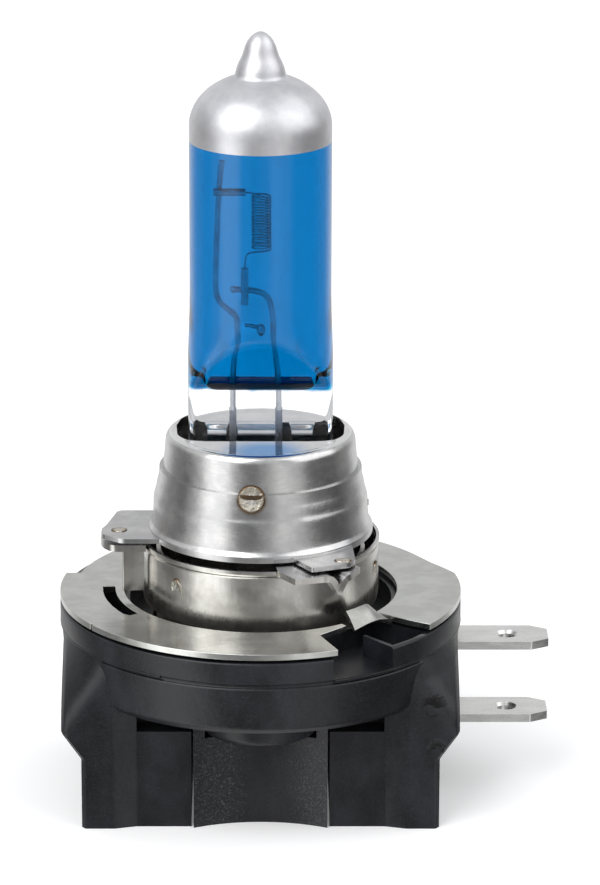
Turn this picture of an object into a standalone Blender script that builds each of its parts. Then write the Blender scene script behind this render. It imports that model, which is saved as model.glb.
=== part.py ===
"""Headlight bulb: a coated halogen capsule on a stamped steel cap, in a black moulded base.

Z is the bulb's axis and points to the tip. The flat bottom of the base lies at Z = 0, the blade
terminals leave the base towards +X, and -Y is the front. Lengths here are in millimetres, and MM
turns them into metres where a mesh is made. Angles are in degrees, from +X towards +Y.
"""

import math

import bmesh
import bpy
from mathutils import Matrix, Vector

MM = 0.001
SIDES = 48  # flats round a turned piece
FIT = 0.3  # gap between pieces that touch
NEST = 0.15  # gap between shells pressed into each other

# Driving dimensions
RING_R = 11.5  # locating ring, 23 mm across
TAB_FACE_Z = 25.1  # underside of the ring's tabs, the cap's reference plane
GLASS_R = 6.75
DOME_Z = 66.07
DOME_HEIGHT = 5.0
TIP_Z = 75.0
GLASS_WALL = 1.1
PINCH_R = 6.95
PINCH_HALF = 2.2
PINCH_TOP_Z = 41.0
PINCH_BOTTOM_Z = 31.0
LEAD_X = (-2.65, 1.75)
LEAD_R = 0.28
FOIL_HALF = 0.45
COIL_R = 0.88
COIL_WIRE_R = 0.085
COIL_TURNS = 20
COIL_Z = (54.1, 59.4)
CUP_TOP_Z = 36.2
SEAM_Z = 32.6
CUP_BOTTOM_Z = 26.1
COLLAR_R = 19.45
COLLAR_TOP_Z = 19.3
LEDGE_Z = 17.2
BAND_BOTTOM_Z = 12.0
PLATE_Z = (19.6, 20.2)
PLATE_HOLE_R = 13.25
FRONT_Y = 12.6  # half the depth of the base's legs
PANEL_DEPTH = 0.6  # of the recess between each leg and the carrier
SHOULDER_Z = (7.0, 9.7)
LEG_LEVELS = (  # height, half width, and radius of the round that the front face turns into
    (0.0, 17.1, 60.0), (SHOULDER_Z[0], 17.1, 40.0), (SHOULDER_Z[1], 19.0, 23.2), (12.0, 18.9, 22.0),
    (13.5, 18.8, 21.0), (15.0, 18.6, 20.2), (16.9, 18.4, 19.3))
LEG_ROUND = 12  # power of the blend between the flat front and the round
CARRIER_HALF = 6.4
BLADE_WIDTH = 4.8
BLADE_THICK = 0.8
BLADE_TOP_Z = (15.3, 7.8)
STEM_HEIGHT = (2.7, 4.0)  # of the upper and lower blade's stem, above the blade
FOIL_FOOT_Z = 33.2
BLADE_TIP_X = 28.0
BLADE_HOLE_X = 24.0
BLADE_HOLE_R = 0.95
TAB_ANGLES = (177.0, -63.0, 57.0)
LUG_ROOTS = (-35.8, 144.2)  # the two spring lugs face each other across the ring
LUG_SWEEP = 17.2
LUG_R = (13.45, 14.85)


def polar(radius, degrees):
    """The point at this radius and angle."""
    return radius * math.cos(math.radians(degrees)), radius * math.sin(math.radians(degrees))


def arc(radius, start, end, count=12, centre=(0.0, 0.0)):
    """Points along an arc, both ends included."""
    steps = [start + (end - start) * i / count for i in range(count + 1)]
    return [(centre[0] + x, centre[1] + y) for x, y in (polar(radius, a) for a in steps)]


def material(name, colour, roughness, metallic=0.0):
    made = bpy.data.materials.new(name)
    made.use_nodes = True
    shader = made.node_tree.nodes["Principled BSDF"]
    shader.inputs["Base Color"].default_value = (*colour, 1.0)
    shader.inputs["Roughness"].default_value = roughness
    shader.inputs["Metallic"].default_value = metallic
    return made


def collect(name):
    made = bpy.data.collections.new(name)
    bpy.context.scene.collection.children.link(made)
    return made


def from_bmesh(name, bm):
    """A smooth-shaded helper object from a bmesh in millimetres. as_part makes it a part."""
    bmesh.ops.scale(bm, vec=(MM, MM, MM), verts=bm.verts)
    bmesh.ops.recalc_face_normals(bm, faces=bm.faces)
    mesh = bpy.data.meshes.new(name)
    bm.to_mesh(mesh)
    bm.free()
    made = bpy.data.objects.new(name, mesh)
    cutters.objects.link(made)
    made.hide_render = True
    made.display_type = "WIRE"
    return made


def as_part(obj, made_of):
    """Moves an object into the bulb's collection, with its material."""
    cutters.objects.unlink(obj)
    bulb.objects.link(obj)
    obj.hide_render = False
    obj.display_type = "TEXTURED"
    obj.data.materials.append(made_of)
    if obj.type == "MESH":
        obj.data.shade_smooth()
        obj.data.set_sharp_from_angle(angle=math.radians(35))
    return obj


def lathe(name, profile, sides=SIDES):
    """A solid of revolution. The profile runs down the outer side, and up the inner one."""
    closed = min(x for x, _ in profile) > 0
    mesh = bpy.data.meshes.new(name)
    count = len(profile)
    edges = [(i, i + 1) for i in range(count - 1)] + ([(count - 1, 0)] if closed else [])
    mesh.from_pydata([(x * MM, 0, z * MM) for x, z in profile], edges, [])
    made = bpy.data.objects.new(name, mesh)
    cutters.objects.link(made)
    made.hide_render = True
    made.display_type = "WIRE"
    screw = made.modifiers.new("Turn", "SCREW")
    screw.steps = screw.render_steps = sides
    screw.use_merge_vertices = True
    screw.merge_threshold = 0.00001
    return made


def walled(outer, wall):
    """A closed profile: the outer line, then the same line moved inwards by the wall."""
    inner = []
    for i, (x, z) in enumerate(outer):
        before = Vector(outer[max(i - 1, 0)])
        after = Vector(outer[min(i + 1, len(outer) - 1)])
        along = (after - before).normalized()
        inner.append((x + along.y * wall, z - along.x * wall))
    return outer + inner[::-1]


def slab(name, outline, low, high):
    """A flat outline in X and Y, raised from low to high."""
    bm = bmesh.new()
    face = bm.faces.new([bm.verts.new((x, y, low)) for x, y in outline])
    raised = bmesh.ops.extrude_face_region(bm, geom=[face])["geom"]
    up = [v for v in raised if isinstance(v, bmesh.types.BMVert)]
    bmesh.ops.translate(bm, vec=(0, 0, high - low), verts=up)
    return from_bmesh(name, bm)


def box(name, x, y, z, bevel=0.0):
    """A box between pairs of X, Y and Z, with its upright edges rounded by bevel."""
    bm = bmesh.new()
    bmesh.ops.create_cube(bm, size=1.0)
    size = (x[1] - x[0], y[1] - y[0], z[1] - z[0])
    middle = ((x[0] + x[1]) / 2, (y[0] + y[1]) / 2, (z[0] + z[1]) / 2)
    bmesh.ops.scale(bm, vec=size, verts=bm.verts)
    bmesh.ops.translate(bm, vec=middle, verts=bm.verts)
    if bevel:
        upright = [e for e in bm.edges if abs(e.verts[0].co.z - e.verts[1].co.z) > size[2] / 2]
        bmesh.ops.bevel(bm, geom=upright, offset=bevel, segments=2, affect="EDGES", profile=0.5)
    return from_bmesh(name, bm)


def cylinder(name, radius, low, high, centre=(0.0, 0.0), sides=24):
    bm = bmesh.new()
    place = Matrix.Translation((*centre, (low + high) / 2))
    bmesh.ops.create_cone(bm, cap_ends=True, segments=sides, radius1=radius, radius2=radius,
                          depth=high - low, matrix=place)
    return from_bmesh(name, bm)


def combine(target, other, operation="DIFFERENCE"):
    step = target.modifiers.new(other.name, "BOOLEAN")
    step.object = other
    step.operation = operation
    step.solver = "EXACT"
    return target


def wire(name, points, radius, made_of, resolution=2):
    """A round wire along points, with flat ends."""
    curve = bpy.data.curves.new(name, "CURVE")
    curve.dimensions = "3D"
    spline = curve.splines.new("POLY")
    spline.points.add(len(points) - 1)
    for point, place in zip(spline.points, points):
        point.co = (*(v * MM for v in place), 1.0)
    curve.bevel_depth = radius * MM
    curve.bevel_resolution = resolution
    curve.use_fill_caps = True
    made = bpy.data.objects.new(name, curve)
    cutters.objects.link(made)
    return as_part(made, made_of)


def press_wedge(name, side, inset):
    """The space that one jaw of the press leaves beside the pinch, for side -1 or 1."""
    near = PINCH_HALF - inset
    bm = bmesh.new()
    section = [(near, 25.0), (near, PINCH_TOP_Z), (9.0, 50.0), (14.0, 50.0), (14.0, 25.0)]
    face = bm.faces.new([bm.verts.new((-9.0, side * y, z)) for y, z in section])
    raised = bmesh.ops.extrude_face_region(bm, geom=[face])["geom"]
    far = [v for v in raised if isinstance(v, bmesh.types.BMVert)]
    bmesh.ops.translate(bm, vec=(18.0, 0, 0), verts=far)
    return from_bmesh(name, bm)


def glass_envelope():
    """The quartz capsule: nipple, dome, tube and flat pinch, open through the lead slots."""
    nipple = [(0.0, TIP_Z), (0.6, 74.83), (1.05, 74.3), (1.45, 73.3), (2.05, 71.9), (2.6, 70.85)]
    dome = [
        (GLASS_R * math.sin(math.radians(a)), DOME_Z + DOME_HEIGHT * math.cos(math.radians(a)))
        for a in (25, 34, 42, 50, 58, 66, 74, 82, 90)
    ]
    tube = [(GLASS_R, 48.0), (PINCH_R, 44.0), (PINCH_R, PINCH_BOTTOM_Z), (0.0, PINCH_BOTTOM_Z)]
    body = lathe("glass_envelope", nipple + dome + tube)
    inner_r = GLASS_R - GLASS_WALL
    inner_height = DOME_HEIGHT - GLASS_WALL
    hollow_profile = [
        (inner_r * math.sin(math.radians(a)), DOME_Z + inner_height * math.cos(math.radians(a)))
        for a in (0, 18, 36, 54, 72, 90)
    ] + [(inner_r, 47.0), (5.0, PINCH_TOP_Z + 0.6), (0.0, PINCH_TOP_Z + 0.6)]
    hollow = lathe("hollow", hollow_profile)
    for side, word in ((-1, "front"), (1, "rear")):
        combine(hollow, press_wedge(f"hollow_press_{word}", side, 1.0))
        combine(body, press_wedge(f"press_{word}", side, 0.0))
    combine(body, hollow)
    for x in LEAD_X:
        slot = (x - FOIL_HALF - FIT, x + FOIL_HALF + FIT)
        combine(body, box("lead_slot", slot, (-0.5, 0.5), (30.0, PINCH_TOP_Z + 1.0)))
    return as_part(body, quartz)


def filament():
    """One tungsten wire: an upper leg, the coil along the axis and a lower leg."""
    upper = [(-3.0, -0.7, 59.8), (-1.3, -0.7, 59.8), (-0.3, -0.95, 59.7)]
    per_turn = 8
    coil = []
    for i in range(COIL_TURNS * per_turn + 1):
        turn = i / per_turn
        x, y = polar(COIL_R, -90 - 360 * turn)
        coil.append((x, y, COIL_Z[1] - (COIL_Z[1] - COIL_Z[0]) * turn / COIL_TURNS))
    lower = [(-0.9, -0.8, 54.0), (-1.5, -0.7, 53.7), (-1.5, -0.7, 51.0)]
    wire("filament", upper + coil + lower, COIL_WIRE_R, tungsten, resolution=1)


def clamp_tube(name, start, end):
    """A small tube crimped on one leg of the filament."""
    length = (Vector(end) - Vector(start)).length
    turn = Vector((0, 0, 1)).rotation_difference(Vector(end) - Vector(start)).to_matrix().to_4x4()
    place = Matrix.Translation((Vector(start) + Vector(end)) / 2) @ turn
    solids = []
    for kind, radius, extra in (("", 0.36, 0.0), ("_bore", 0.2, 1.0)):
        bm = bmesh.new()
        bmesh.ops.create_cone(bm, cap_ends=True, segments=12, radius1=radius, radius2=radius,
                              depth=length + extra, matrix=place)
        solids.append(from_bmesh(name + kind, bm))
    as_part(combine(solids[0], solids[1]), molybdenum)


def capsule_metal():
    """What the capsule holds: posts, clamps, foils and the pins below the pinch."""
    left, right = LEAD_X
    foot = PINCH_TOP_Z - 2.7
    post = [(left, foot), (left, 41.4), (-2.15, 46.8), (-2.65, 47.8), (-3.75, 48.7), (-4.35, 50.1),
            (-4.25, 52.8), (-4.0, 59.8), (-3.65, 62.7)]
    hook = [(right, foot), (right, 41.4), (1.45, 43.6), (1.2, 46.8), (1.0, 48.7), (0.35, 49.7),
            (-0.8, 50.1), (-2.6, 50.15)]
    wire("long_support_post", [(x, 0, z) for x, z in post], LEAD_R, molybdenum)
    wire("hooked_support_post", [(x, 0, z) for x, z in hook], LEAD_R, molybdenum)
    clamp_tube("upper_filament_clamp", (-4.4, -0.75, 59.8), (-1.4, -0.75, 59.8))
    clamp_tube("lower_filament_clamp", (-1.5, -0.75, 48.8), (-1.5, -0.75, 52.4))
    stub = [(-1.5, 46.6), (-0.5, 46.6), (0.05, 46.3)]
    wire("centre_stub_wire", [(x, 0, z) for x, z in stub], 0.16, molybdenum)
    for x, word in zip(LEAD_X, ("left", "right")):
        foil = box(f"{word}_foil", (x - FOIL_HALF, x + FOIL_HALF), (-0.1, 0.1),
                   (FOIL_FOOT_Z, foot - FIT))
        as_part(foil, molybdenum)
        which = 0 if word == "right" else 1
        low = BLADE_TOP_Z[which] + STEM_HEIGHT[which] + FIT
        wire(f"{word}_lead_pin", [(x, 0, FOIL_FOOT_Z - FIT), (x, 0, low)], 0.4, nickel)


def pinch_clip():
    """The spring frame that grips the pinch: a band with three fingers behind and in front."""
    band = box("pinch_clip", (-7.7, 7.7), (-3.0, 3.0), (31.6, 34.2), bevel=0.6)
    combine(band, box("clip_inside", (-7.3, 7.3), (-2.6, 2.6), (30.0, 36.0), bevel=0.4))
    fingers = ((-5.1, -3.3), (-2.2, 1.6), (3.0, 5.0))
    for side, top in ((-1, 35.2), (1, 36.3)):
        y = tuple(sorted((side * 2.6, side * 3.0)))
        for x in fingers:
            combine(band, box("finger", x, y, (33.0, top)), "UNION")
    return as_part(band, steel)


def top_cup():
    """The small drawn cup round the pinch, with a wide opening for it in the top face."""
    outer = [(0.0, CUP_TOP_Z), (7.9, CUP_TOP_Z), (8.6, 36.0), (9.0, 35.4), (9.15, 34.4),
             (9.35, 32.8), (9.35, 29.6)]
    inner = [(8.95, 29.6), (8.95, 32.8), (8.75, 34.4), (8.6, 35.3), (8.3, 35.7), (7.9, 35.8),
             (0.0, 35.8)]
    cup = lathe("top_cup", outer + inner)
    half = [(5.2, -3.3), (6.9, -3.0), (7.9, -2.0), (8.1, 1.5), (7.7, 3.6), (6.6, 5.2), (5.2, 6.2)]
    opening = half + [(-x, y) for x, y in reversed(half)]
    combine(cup, slab("pinch_opening", opening, 35.0, 37.0))
    return as_part(cup, steel)


def tab_outline(angle, half_width, inner_r, outer_r):
    """A radial tab: parallel sides and an arc for its end, turned to its angle."""
    reach = math.degrees(math.asin(half_width / outer_r))
    root = math.degrees(math.asin(half_width / inner_r))
    end = arc(outer_r, angle - reach, angle + reach, 6)
    return end + [polar(inner_r, angle + root), polar(inner_r, angle), polar(inner_r, angle - root)]


def outer_cup():
    """The wider drawn cup, whose three tabs are welded to the ring's."""
    wall = 0.4
    outer = [(9.35 + NEST + wall, SEAM_Z), (10.0, 31.8), (10.25, 30.9), (10.35, 30.4), (10.3, 29.9),
             (10.32, 27.8), (10.5, 27.0), (10.8, 26.6), (10.85, CUP_BOTTOM_Z)]
    cup = lathe("outer_cup", walled(outer, wall))
    for angle, half in zip(TAB_ANGLES, (4.9, 2.9, 2.9)):
        outline = tab_outline(angle, half, 10.55, 15.3 if half > 4 else 14.5)
        combine(cup, slab("cup_tab", outline, CUP_BOTTOM_Z, CUP_BOTTOM_Z + 0.5), "UNION")
    return as_part(cup, steel)


def locating_ring():
    """The 23 mm ring: a drawn wall with a lip, three tabs and a fold in the front one."""
    outer = [(RING_R, 25.8), (RING_R, 25.1), (11.3, 24.9), (11.4, 24.5), (11.4, 21.8), (11.2, 20.8),
             (10.85, 20.0), (10.85, 19.4)]
    ring = lathe("locating_ring", walled(outer, 0.5))
    top = CUP_BOTTOM_Z - FIT
    for angle, half, reach in zip((176.0, -65.0, 57.0), (5.0, 4.1, 3.4), (15.4, 15.2, 15.2)):
        outline = tab_outline(angle, half, 11.15, reach)
        combine(ring, slab("ring_tab", outline, TAB_FACE_Z, top), "UNION")
    fold_x = (6.4, 7.6)
    fold = slab("fold", [(fold_x[0], -14.5), (fold_x[1], -14.5), (fold_x[1], -12.4),
                         (fold_x[0], -12.4)], TAB_FACE_Z - 0.8, TAB_FACE_Z + 0.1)
    combine(ring, fold, "UNION")
    bracket = box("bracket", (-13.2, -10.9), (-3.4, -2.9), (21.0, TAB_FACE_Z + 0.1))
    combine(ring, bracket, "UNION")
    return as_part(ring, steel)


def inner_sleeve():
    """The sleeve under the ring, which the base grips."""
    return as_part(lathe("inner_sleeve", walled([(10.1, 24.4), (10.1, 16.3)], 0.4)), steel)


def sector(name, points, low, high):
    """A slab whose outline is given as radius and angle."""
    return slab(name, [polar(radius, angle) for radius, angle in points], low, high)


def spring_plate():
    """The stamped plate on the collar, with a cut-out for each spring lug and a curved slot."""
    outline = arc(COLLAR_R, 168, 372, 48) + [polar(18.9, 17), polar(18.3, 23)]
    outline += arc(18.1, 30, 168, 30)
    plate = slab("spring_plate", outline, *PLATE_Z)
    low, high = PLATE_Z[0] - 1, PLATE_Z[1] + 1
    combine(plate, cylinder("plate_hole", PLATE_HOLE_R, low, high, sides=SIDES))
    for root, is_front in zip(LUG_ROOTS, (True, False)):
        edge = root + 1.3
        end, far = edge - LUG_SWEEP - 2.7, edge - LUG_SWEEP - 16.4
        rim = [(15.6, far), (15.6, edge - 15.0), (15.4, edge - 0.1)]
        if is_front:
            rim = [(22, far), (22, edge + 0.3), (COLLAR_R, edge + 0.3), (17.25, edge - 0.1)]
        gap = [(15.0, far)] + rim + [(15.2, edge), (12, edge), (12, end), (13.95, end)]
        combine(plate, sector("lug_gap", gap, low, high))
    slot = [(r, a) for r, a in ((14.1, 214), (14.1, 202), (14.1, 191), (14.1, 180), (15.3, 180),
                                (15.3, 191), (15.3, 202), (15.3, 211), (14.7, 215))]
    combine(plate, sector("left_slot", slot, low, high))
    return as_part(plate, spring_steel)


def spring_lug(name, root):
    """A lug sheared from the plate's inner edge and twisted, with its inner side raised."""
    along, across = 6, 2
    bm = bmesh.new()
    bmesh.ops.create_grid(bm, x_segments=along, y_segments=across, size=0.5)
    for vert in bm.verts:
        travel, side = vert.co.x + 0.5, vert.co.y + 0.5
        lift = math.sin(min(travel / 0.45, 1.0) * math.pi / 2) - 0.12 * travel
        inner = (1.0 - side) * 1.75 * lift
        outer = side * 0.35 * math.sin(travel * math.pi)
        x, y = polar(LUG_R[0] + side * (LUG_R[1] - LUG_R[0]), root - travel * LUG_SWEEP)
        vert.co = (x, y, sum(PLATE_Z) / 2 + inner + outer)
    lug = from_bmesh(name, bm)
    solid = lug.modifiers.new("Sheet", "SOLIDIFY")
    solid.thickness = 0.55 * MM
    solid.offset = 0
    return as_part(lug, spring_steel)


def leg_block():
    """The legs: shouldered sides, and a flat front that turns into the round band above it."""
    steps = 20
    bm = bmesh.new()
    loops = []
    for z, half, radius in LEG_LEVELS:
        front = []
        for i in range(steps + 1):
            x = half * (2 * i / steps - 1)
            y = math.sqrt(radius * radius - x * x)
            front.append((x, (FRONT_Y ** -LEG_ROUND + y ** -LEG_ROUND) ** (-1 / LEG_ROUND)))
        outline = [(x, -y) for x, y in front] + front[::-1]
        loops.append([bm.verts.new((x, y, z)) for x, y in outline])
    for low, high in zip(loops, loops[1:]):
        for i in range(len(low)):
            bm.faces.new([low[i - 1], low[i], high[i], high[i - 1]])
    bm.faces.new(loops[0][::-1])
    bm.faces.new(loops[-1])
    return from_bmesh("leg_block", bm)


def base_body():
    """The moulded base: collar, band and legs, bored for the cap and hollow for the carrier."""
    profile = [(0.0, COLLAR_TOP_Z), (19.2, COLLAR_TOP_Z), (COLLAR_R, 19.05), (COLLAR_R, LEDGE_Z),
               (19.1, 17.0), (19.1, 16.8), (19.3, 16.6), (18.9, 12.5), (18.4, BAND_BOTTOM_Z),
               (0.0, BAND_BOTTOM_Z)]
    base = lathe("base_body", profile)
    combine(base, leg_block(), "UNION")
    boss = cylinder("boss", 5.6, 9.3, 13.0, centre=(0.0, -9.4))
    combine(base, cylinder("bore", 12.7, 17.2, 20.0, sides=SIDES))
    combine(base, cylinder("sleeve_seat", 10.5, 16.0, 18.0, sides=SIDES))
    combine(base, box("carrier_bay", (-6.6, 6.6), (-14.0, 14.0), (-1.0, 11.7)))
    combine(base, boss, "UNION")
    combine(base, box("pin_well", (-3.7, 3.0), (-2.8, 2.8), (11.0, 16.5)))
    combine(base, box("upper_way", (0.4, 30.0), (-2.75, 2.75), (BLADE_TOP_Z[0] - 1.1, 15.6)))
    combine(base, box("lower_way", (6.0, 30.0), (-2.75, 2.75), (BLADE_TOP_Z[1] - 1.1, 8.1)))
    for x in ((-15.4, -8.6), (8.6, 15.4)):
        combine(base, box("leg_hollow", x, (-9.0, 9.0), (-1.0, 6.2), bevel=0.8))
    for side in (-1, 1):
        for end in (-1, 1):
            window = tuple(sorted((side * 6.3, side * 11.5)))
            depth = tuple(sorted((end * 9.5, end * 14.0)))
            combine(base, box("window", window, depth, (SHOULDER_Z[1], 11.9)))
            deep = end * (FRONT_Y - PANEL_DEPTH)
            panel = [(side * 6.3, deep), (side * 11.85, deep), (side * 13.95, end * FRONT_Y),
                     (side * 13.95, end * 14.0), (side * 6.3, end * 14.0)]
            combine(base, slab("panel", panel, -1.0, BAND_BOTTOM_Z - 0.1))
    notch = [(13.0, -69.5), (22.0, -69.5), (22.0, -49.5), (13.0, -49.5)]
    combine(base, sector("rim_notch", notch, LEDGE_Z + 0.1, 20.0))
    lug_well = [(13.0, -69.0), (18.7, -69.0), (18.7, -58.0), (18.7, -46.0), (18.7, -34.0),
                (13.0, -34.0)]
    combine(base, sector("lug_well", lug_well, LEDGE_Z + 0.1, 20.0))
    start, end = LUG_ROOTS[1] + 1.8, LUG_ROOTS[1] - LUG_SWEEP - 3.0
    rear_well = [(12.0, end), (15.6, end), (15.6, (start + end) / 2), (15.6, start), (12.0, start)]
    combine(base, sector("rear_lug_well", rear_well, LEDGE_Z + 0.1, 20.0))
    slot_well = [(13.6, 178), (15.8, 178), (15.8, 197), (15.8, 216), (13.6, 216), (13.6, 197)]
    combine(base, sector("slot_well", slot_well, LEDGE_Z + 0.1, 20.0))
    return as_part(base, black_plastic)


def contact_carrier():
    """The insert in the middle of the base: hollowed front and back, and slotted for a blade."""
    carrier = box("contact_carrier", (-CARRIER_HALF, CARRIER_HALF), (-12.4, 12.4), (0.0, 11.4))
    scallop_r = 14.4
    for end in (-1, 1):
        centre = (0.0, end * (10.9 + scallop_r))
        combine(carrier, cylinder("scallop", scallop_r, -1.0, 12.0, centre, sides=96))
    combine(carrier, cylinder("boss_room", 5.9, 9.0, 12.0, centre=(0.0, -9.4)))
    low = BLADE_TOP_Z[1]
    combine(carrier, box("blade_way", (-3.9, 8.0), (-2.7, 2.7), (low - 1.1, 12.0)))
    return as_part(carrier, black_plastic)


def blade(name, top, stem_x, stem_top):
    """A flat blade with a cut-cornered end, a hole, and a stem up to its lead pin."""
    half = BLADE_WIDTH / 2
    start = stem_x - 0.4
    tip = BLADE_TIP_X
    outline = [(start, -half), (tip - 1.7, -half), (tip, -half + 1.0), (tip, half - 1.0),
               (tip - 1.7, half), (start, half)]
    made = slab(name, outline, top - BLADE_THICK, top)
    hole = cylinder("blade_hole", BLADE_HOLE_R, top - 2, top + 1, (BLADE_HOLE_X, 0.0))
    combine(made, hole)
    stem = box("stem", (start, start + 0.8), (-1.2, 1.2), (top - 0.2, stem_top))
    combine(made, stem, "UNION")
    return as_part(made, tinned)


for old in list(bpy.data.objects):
    bpy.data.objects.remove(old)
bulb = collect("headlight_bulb")
cutters = collect("cutters")

quartz = material("blue_quartz", (0.03, 0.2, 0.5), 0.05)
tungsten = material("tungsten", (0.25, 0.26, 0.28), 0.4, 1.0)
molybdenum = material("molybdenum", (0.4, 0.42, 0.45), 0.35, 1.0)
nickel = material("nickel_wire", (0.6, 0.6, 0.6), 0.3, 1.0)
steel = material("bright_steel", (0.62, 0.61, 0.6), 0.25, 1.0)
spring_steel = material("spring_steel", (0.6, 0.61, 0.57), 0.35, 1.0)
black_plastic = material("black_plastic", (0.03, 0.03, 0.035), 0.45)
tinned = material("tinned_brass", (0.7, 0.7, 0.68), 0.3, 1.0)

glass_envelope()
filament()
capsule_metal()
pinch_clip()
top_cup()
outer_cup()
locating_ring()
inner_sleeve()
spring_plate()
for number, lug_root in enumerate(LUG_ROOTS, start=1):
    spring_lug(f"spring_lug_{number}", lug_root)
base_body()
contact_carrier()
blade("upper_blade_terminal", BLADE_TOP_Z[0], LEAD_X[1], BLADE_TOP_Z[0] + STEM_HEIGHT[0])
blade("lower_blade_terminal", BLADE_TOP_Z[1], LEAD_X[0], BLADE_TOP_Z[1] + STEM_HEIGHT[1])
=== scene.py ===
"""Headlight bulb: a coated halogen capsule on a stamped steel cap, in a black moulded base.

Z is the bulb's axis and points to the tip, -Y is the front, and the blades leave towards +X. Sizes
in the classes are in millimetres; publish() turns each finished mesh into metres.
"""

import logging
import math
from dataclasses import dataclass, field
from enum import Enum
from typing import Callable, Iterable, Sequence

import bmesh
import bpy
from bmesh.types import BMesh, BMVert
from mathutils import Matrix, Vector


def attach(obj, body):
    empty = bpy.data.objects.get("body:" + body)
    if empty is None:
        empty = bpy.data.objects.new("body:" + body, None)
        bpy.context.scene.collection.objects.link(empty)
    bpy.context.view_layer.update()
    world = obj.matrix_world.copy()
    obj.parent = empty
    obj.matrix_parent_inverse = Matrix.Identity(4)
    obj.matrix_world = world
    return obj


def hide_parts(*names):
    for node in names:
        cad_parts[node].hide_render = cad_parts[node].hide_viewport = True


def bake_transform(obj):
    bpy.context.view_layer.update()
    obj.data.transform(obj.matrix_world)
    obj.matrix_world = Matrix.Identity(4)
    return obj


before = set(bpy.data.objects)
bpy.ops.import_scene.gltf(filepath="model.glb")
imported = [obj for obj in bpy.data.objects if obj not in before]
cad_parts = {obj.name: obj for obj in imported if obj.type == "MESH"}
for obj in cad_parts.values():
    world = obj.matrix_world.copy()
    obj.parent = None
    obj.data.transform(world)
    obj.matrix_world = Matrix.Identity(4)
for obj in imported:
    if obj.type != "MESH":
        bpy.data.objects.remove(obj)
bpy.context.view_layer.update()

LOG = logging.getLogger("headlight_bulb")
MM = 0.001
TURN_STEPS = 160  # flats round a turned piece
BLADE_TOPS = (15.3, 7.8)  # the upper faces of the two blades
Point = Sequence[float]


class Body(Enum):
    """The bodies that a piece can ride on."""

    BULB = "bulb"
    FRONT_LUG = "front_lug"
    REAR_LUG = "rear_lug"


class Slot(Enum):
    """Names of material slots, which no piece in this script uses."""

    QUARTZ = "coated_quartz"
    TUNGSTEN = "tungsten_wire"
    MOLYBDENUM = "molybdenum_wire"
    CAP = "cap_steel"
    SPRING = "spring_steel"
    PLASTIC = "black_plastic"
    TIN = "tinned_brass"


# ---------------------------------------------------------------- shared shapes


def polar(radius: float, degrees: float) -> tuple[float, float]:
    """The point at this radius and angle, from +X towards +Y."""
    return radius * math.cos(math.radians(degrees)), radius * math.sin(math.radians(degrees))


def arc(radius: float, start: float, end: float, count: int = 12) -> list[tuple[float, float]]:
    """Points along an arc about the axis, both ends included."""
    return [polar(radius, start + (end - start) * i / count) for i in range(count + 1)]


def eased(value: float, low: float, high: float) -> float:
    """How far value is from low to high, from 0 to 1, with soft ends."""
    share = min(max((value - low) / (high - low), 0.0), 1.0)
    return share * share * (3 - 2 * share)


def wire(points: Iterable[Point], closed: bool = False, flat: bool = False) -> BMesh:
    """A line of edges, with its corners rounded where a point has a third number.

    Args:
        points: Across and up, and optionally the corner's rounding.
        closed: Joins the last point to the first.
        flat: Lays the line in X and Y, in place of X and Z.

    Returns:
        A bmesh of edges alone.
    """
    bm = bmesh.new()
    points = [tuple(point) for point in points]
    verts = [bm.verts.new((p[0], p[1], 0) if flat else (p[0], 0, p[1])) for p in points]
    for pair in list(zip(verts, verts[1:])) + ([(verts[-1], verts[0])] if closed else []):
        bm.edges.new(pair)
    for vert, point in zip(verts, points):
        if len(point) > 2:
            bmesh.ops.bevel(bm, geom=[vert], offset=point[2], segments=5, affect="VERTICES",
                            profile=0.5, material=-1)
    return bm


def turned(points: Iterable[Point], closed: bool = False, steps: int = TURN_STEPS,
           longest: float = 0.0) -> BMesh:
    """A shape of revolution about Z.

    Args:
        points: The profile as radius and height, with optional corner rounding.
        closed: Joins the profile's ends, as a ring or a shell needs.
        steps: Flats round the axis.
        longest: Cuts profile edges longer than this into even lengths.

    Returns:
        The turned bmesh, with its faces pointing outwards.
    """
    bm = wire(points, closed)
    if longest:
        for edge in [e for e in bm.edges if e.calc_length() > longest]:
            bmesh.ops.subdivide_edges(bm, edges=[edge], cuts=int(edge.calc_length() / longest))
    bmesh.ops.spin(bm, geom=bm.verts[:] + bm.edges[:], cent=(0, 0, 0), axis=(0, 0, 1),
                   angle=math.tau, steps=steps, use_merge=True)
    bmesh.ops.remove_doubles(bm, verts=bm.verts, dist=0.0005)
    bmesh.ops.recalc_face_normals(bm, faces=bm.faces)
    return bm


def shell(outer: Sequence[Point], wall: float) -> list[Point]:
    """A closed profile: the outer line, then the same line moved inwards by the wall."""
    inner: list[Point] = []
    for i, point in enumerate(outer):
        before, after = Vector(outer[max(i - 1, 0)][:2]), Vector(outer[min(i + 1, len(outer) - 1)][:2])
        along = (after - before).normalized()
        inner.append((point[0] + along.y * wall, point[1] - along.x * wall, *point[2:]))
    return list(outer) + inner[::-1]


def raised(bm: BMesh, by: Vector | Point) -> BMesh:
    """Extrudes all faces of a flat shape along a vector, into a closed solid."""
    up = bmesh.ops.extrude_face_region(bm, geom=bm.faces[:])["geom"]
    bmesh.ops.translate(bm, vec=by, verts=[v for v in up if isinstance(v, BMVert)])
    bmesh.ops.recalc_face_normals(bm, faces=bm.faces)
    return bm


def prism(outline: Iterable[Point], low: float, high: float) -> BMesh:
    """A flat outline in X and Y, with optional corner rounding, raised from low to high."""
    bm = wire(outline, closed=True, flat=True)
    bmesh.ops.contextual_create(bm, geom=bm.edges[:])
    bmesh.ops.translate(bm, vec=(0, 0, low), verts=bm.verts)
    return raised(bm, (0, 0, high - low))


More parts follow.
